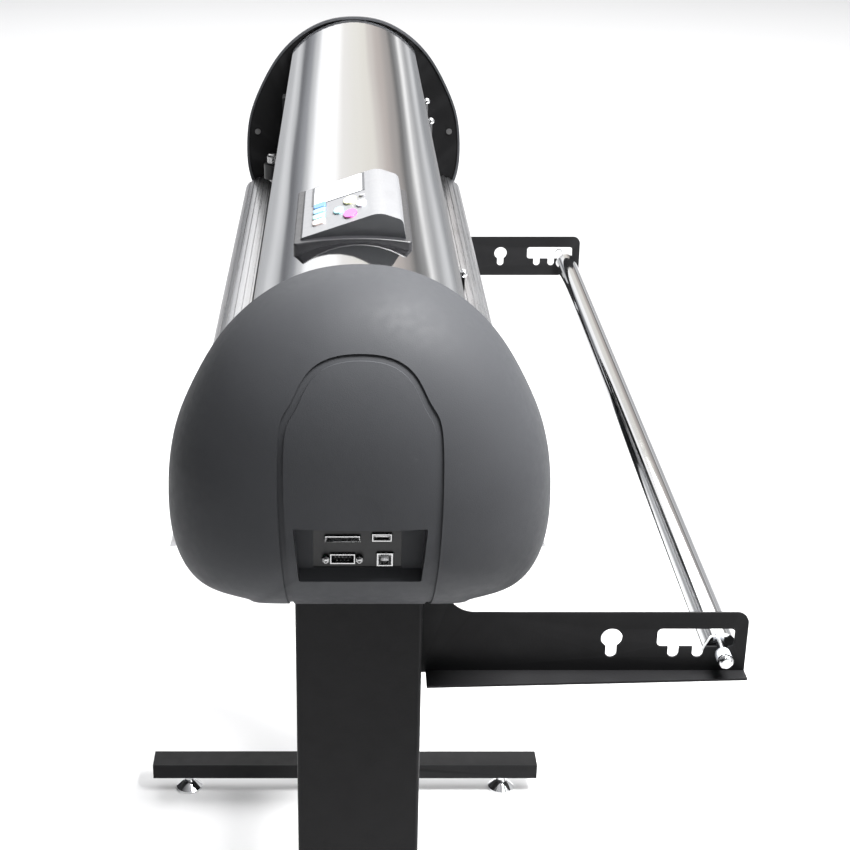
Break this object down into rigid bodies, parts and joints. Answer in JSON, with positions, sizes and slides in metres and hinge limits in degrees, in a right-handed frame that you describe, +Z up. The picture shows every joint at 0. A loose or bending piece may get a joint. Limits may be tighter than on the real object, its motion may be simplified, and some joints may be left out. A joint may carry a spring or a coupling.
{
  "type": "vinyl cutting plotter",
  "caption": "Roll-fed vinyl cutting plotter with a long domed cover, rounded end caps and a control panel, standing on two column legs with foot bars and a rear roll holder.",
  "frame": {"origin": "floor level, midway between the legs and midway between the foot bars' front tips and the roll brackets' rear tips", "axes": "+X along the machine to the operator's right, +Y to the rear, +Z up"},
  "size_m": [1.3256, 0.648, 1.2611],
  "materials": {
    "cap_plastic": "fine moulded texture, dark grey",
    "black_powder_coat": "fine black powder coat",
    "bright_steel": "bright zinc and ground steel",
    "polished_aluminium": "polished, drawn along its length",
    "satin_aluminium": "satin anodised extrusion",
    "black_plastic": "moulded black plastic",
    "black_rubber": "black rubber",
    "chrome": "bright chrome plate",
    "silver_plastic": "silver-grey painted plastic",
    "display": "clear hard window over a pale display",
    "circuit_board": "green solder mask",
    "connector_metal": "nickel-plated shells",
    "key_blue": "tinted key cap",
    "key_light_blue": "tinted key cap",
    "key_teal": "tinted key cap",
    "key_pink": "tinted key cap",
    "key_yellow": "tinted key cap",
    "key_magenta": "tinted key cap",
    "key_cyan": "tinted key cap",
    "key_white": "tinted key cap",
    "key_grey": "grey key cap"
  },
  "bodies": {
    "machine": {"right_end_cap": "cap_plastic", "left_end_cap": "cap_plastic", "right_side_plate": "black_powder_coat", "left_side_plate": "black_powder_coat", "machine_screws": "bright_steel", "top_cover": "polished_aluminium", "carriage_beam": "satin_aluminium", "platen": "satin_aluminium", "cutting_strip": "black_rubber", "shaft_bearings": "bright_steel", "feed_motor": "black_plastic", "feed_belt": "black_rubber", "carriage_motor": "black_plastic", "carriage_belt": "black_rubber", "panel_base": "black_plastic", "panel_housing": "silver_plastic", "display_window": "display", "mainboard": "circuit_board", "port_connectors": "connector_metal", "power_inlet": "black_plastic", "right_leg": "black_powder_coat", "left_leg": "black_powder_coat", "stand_crossbar": "black_powder_coat", "right_roll_bracket": "black_powder_coat", "left_roll_bracket": "black_powder_coat"},
    "grit_roller": {"grit_shaft": "bright_steel"},
    "feed_pulley": {"feed_motor_pulley": "satin_aluminium"},
    "drive_pulley": {"carriage_motor_pulley": "satin_aluminium"},
    "idler": {"idler_pulley": "satin_aluminium"},
    "carriage_body": {"carriage": "black_plastic"},
    "tool": {"tool_slide": "black_plastic", "blade_holder": "bright_steel"},
    "tool_knob": {"clamp_knob": "black_plastic"},
    "roll": {"roll_tube": "chrome", "roll_axle": "chrome"},
    "pinch_left": {"pinch_block_left": "black_plastic"},
    "arm_left": {"pinch_arm_left": "satin_aluminium"},
    "wheel_left": {"pinch_wheel_left": "black_rubber"},
    "lever_left": {"pinch_lever_left": "chrome"},
    "pinch_middle": {"pinch_block_middle": "black_plastic"},
    "arm_middle": {"pinch_arm_middle": "satin_aluminium"},
    "wheel_middle": {"pinch_wheel_middle": "black_rubber"},
    "lever_middle": {"pinch_lever_middle": "chrome"},
    "pinch_right": {"pinch_block_right": "black_plastic"},
    "arm_right": {"pinch_arm_right": "satin_aluminium"},
    "wheel_right": {"pinch_wheel_right": "black_rubber"},
    "lever_right": {"pinch_lever_right": "chrome"},
    "function_key_1": {"function_key_1": "key_blue"},
    "function_key_2": {"function_key_2": "key_light_blue"},
    "function_key_3": {"function_key_3": "key_teal"},
    "function_key_4": {"function_key_4": "key_pink"},
    "arrow_key_left": {"arrow_key_left": "key_yellow"},
    "arrow_key_right": {"arrow_key_right": "key_magenta"},
    "arrow_key_front": {"arrow_key_front": "key_cyan"},
    "arrow_key_rear": {"arrow_key_rear": "key_white"},
    "origin_key": {"origin_key": "key_grey"},
    "levelling_foot_left_front": {"levelling_foot_left_front": "chrome"},
    "levelling_foot_left_rear": {"levelling_foot_left_rear": "chrome"},
    "levelling_foot_right_front": {"levelling_foot_right_front": "chrome"},
    "levelling_foot_right_rear": {"levelling_foot_right_rear": "chrome"}
  },
  "joints": [
    {"name": "carriage_slide", "type": "slide", "parent": "machine", "child": "carriage_body", "axis": [1, 0, 0], "range_m": [0, 0.94]},
    {"name": "drive_pulley_spin", "type": "hinge", "parent": "machine", "child": "drive_pulley", "pos_m": [0.515, -0.034, 1.149], "axis": [0, 1, 0], "continuous": true},
    {"name": "idler_spin", "type": "hinge", "parent": "machine", "child": "idler", "pos_m": [-0.538, -0.034, 1.149], "axis": [0, 1, 0], "continuous": true},
    {"name": "tool_lift", "type": "slide", "parent": "carriage_body", "child": "tool", "axis": [0, 0, 1], "range_m": [-0.002, 0], "stiffness_N_per_m": 600, "springref_m": 0.004},
    {"name": "clamp_knob_turn", "type": "hinge", "parent": "tool", "child": "tool_knob", "pos_m": [-0.505, -0.111, 1.046], "axis": [1, 0, 0], "range_deg": [-180, 180]},
    {"name": "grit_spin", "type": "hinge", "parent": "machine", "child": "grit_roller", "pos_m": [0, -0.05, 1.0148], "axis": [1, 0, 0], "continuous": true},
    {"name": "feed_pulley_spin", "type": "hinge", "parent": "machine", "child": "feed_pulley", "pos_m": [0.572, -0.05, 1.1288], "axis": [1, 0, 0], "continuous": true},
    {"name": "roll_spin", "type": "hinge", "parent": "machine", "child": "roll", "pos_m": [0, 0.304, 0.9001], "axis": [1, 0, 0], "continuous": true},
    {"name": "pinch_slide_left", "type": "slide", "parent": "machine", "child": "pinch_left", "axis": [1, 0, 0], "range_m": [-0.03, 0.03]},
    {"name": "lever_turn_left", "type": "hinge", "parent": "pinch_left", "child": "lever_left", "pos_m": [-0.344, 0.08, 1.094], "axis": [-1, 0, 0], "range_deg": [0, 60]},
    {"name": "arm_lift_left", "type": "hinge", "parent": "pinch_left", "child": "arm_left", "pos_m": [-0.344, 0.01, 1.079], "axis": [-1, 0, 0], "range_deg": [0, 3.5]},
    {"name": "wheel_spin_left", "type": "hinge", "parent": "arm_left", "child": "wheel_left", "pos_m": [-0.344, -0.05, 1.0331], "axis": [1, 0, 0], "continuous": true},
    {"name": "pinch_slide_middle", "type": "slide", "parent": "machine", "child": "pinch_middle", "axis": [1, 0, 0], "range_m": [-0.03, 0.03]},
    {"name": "lever_turn_middle", "type": "hinge", "parent": "pinch_middle", "child": "lever_middle", "pos_m": [-0.232, 0.08, 1.094], "axis": [-1, 0, 0], "range_deg": [0, 60]},
    {"name": "arm_lift_middle", "type": "hinge", "parent": "pinch_middle", "child": "arm_middle", "pos_m": [-0.232, 0.01, 1.079], "axis": [-1, 0, 0], "range_deg": [0, 3.5]},
    {"name": "wheel_spin_middle", "type": "hinge", "parent": "arm_middle", "child": "wheel_middle", "pos_m": [-0.232, -0.05, 1.0331], "axis": [1, 0, 0], "continuous": true},
    {"name": "pinch_slide_right", "type": "slide", "parent": "machine", "child": "pinch_right", "axis": [1, 0, 0], "range_m": [-0.03, 0.03]},
    {"name": "lever_turn_right", "type": "hinge", "parent": "pinch_right", "child": "lever_right", "pos_m": [0.361, 0.08, 1.094], "axis": [-1, 0, 0], "range_deg": [0, 60]},
    {"name": "arm_lift_right", "type": "hinge", "parent": "pinch_right", "child": "arm_right", "pos_m": [0.361, 0.01, 1.079], "axis": [-1, 0, 0], "range_deg": [0, 3.5]},
    {"name": "wheel_spin_right", "type": "hinge", "parent": "arm_right", "child": "wheel_right", "pos_m": [0.361, -0.05, 1.0331], "axis": [1, 0, 0], "continuous": true},
    {"name": "function_key_1_press", "type": "slide", "parent": "machine", "child": "function_key_1", "axis": [0, 0.3212, -0.947], "range_m": [0, 0.0008], "stiffness_N_per_m": 400, "springref_m": -0.0005},
    {"name": "function_key_2_press", "type": "slide", "parent": "machine", "child": "function_key_2", "axis": [0, 0.3212, -0.947], "range_m": [0, 0.0008], "stiffness_N_per_m": 400, "springref_m": -0.0005},
    {"name": "function_key_3_press", "type": "slide", "parent": "machine", "child": "function_key_3", "axis": [0, 0.3212, -0.947], "range_m": [0, 0.0008], "stiffness_N_per_m": 400, "springref_m": -0.0005},
    {"name": "function_key_4_press", "type": "slide", "parent": "machine", "child": "function_key_4", "axis": [0, 0.3212, -0.947], "range_m": [0, 0.0008], "stiffness_N_per_m": 400, "springref_m": -0.0005},
    {"name": "arrow_key_left_press", "type": "slide", "parent": "machine", "child": "arrow_key_left", "axis": [0, 0.3212, -0.947], "range_m": [0, 0.0008], "stiffness_N_per_m": 400, "springref_m": -0.0005},
    {"name": "arrow_key_right_press", "type": "slide", "parent": "machine", "child": "arrow_key_right", "axis": [0, 0.3212, -0.947], "range_m": [0, 0.0008], "stiffness_N_per_m": 400, "springref_m": -0.0005},
    {"name": "arrow_key_front_press", "type": "slide", "parent": "machine", "child": "arrow_key_front", "axis": [0, 0.3212, -0.947], "range_m": [0, 0.0008], "stiffness_N_per_m": 400, "springref_m": -0.0005},
    {"name": "arrow_key_rear_press", "type": "slide", "parent": "machine", "child": "arrow_key_rear", "axis": [0, 0.3212, -0.947], "range_m": [0, 0.0008], "stiffness_N_per_m": 400, "springref_m": -0.0005},
    {"name": "origin_key_press", "type": "slide", "parent": "machine", "child": "origin_key", "axis": [0, 0.3212, -0.947], "range_m": [0, 0.0008], "stiffness_N_per_m": 400, "springref_m": -0.0005},
    {"name": "levelling_foot_left_front_turn", "type": "hinge", "parent": "machine", "child": "levelling_foot_left_front", "pos_m": [-0.534, -0.268, 0.02], "axis": [0, 0, 1], "continuous": true},
    {"name": "levelling_foot_left_rear_turn", "type": "hinge", "parent": "machine", "child": "levelling_foot_left_rear", "pos_m": [-0.534, 0.244, 0.02], "axis": [0, 0, 1], "continuous": true},
    {"name": "levelling_foot_right_front_turn", "type": "hinge", "parent": "machine", "child": "levelling_foot_right_front", "pos_m": [0.534, -0.268, 0.02], "axis": [0, 0, 1], "continuous": true},
    {"name": "levelling_foot_right_rear_turn", "type": "hinge", "parent": "machine", "child": "levelling_foot_right_rear", "pos_m": [0.534, 0.244, 0.02], "axis": [0, 0, 1], "continuous": true}
  ],
  "couplings": [
    {"joint": "drive_pulley_spin", "follows": "carriage_slide", "rad_per_m": -100},
    {"joint": "idler_spin", "follows": "carriage_slide", "rad_per_m": -100},
    {"joint": "feed_pulley_spin", "follows": "grit_spin", "ratio": 1.5},
    {"joint": "arm_lift_left", "follows": "lever_turn_left", "ratio": 0.0545},
    {"joint": "arm_lift_middle", "follows": "lever_turn_middle", "ratio": 0.0545},
    {"joint": "arm_lift_right", "follows": "lever_turn_right", "ratio": 0.0545}
  ]
}
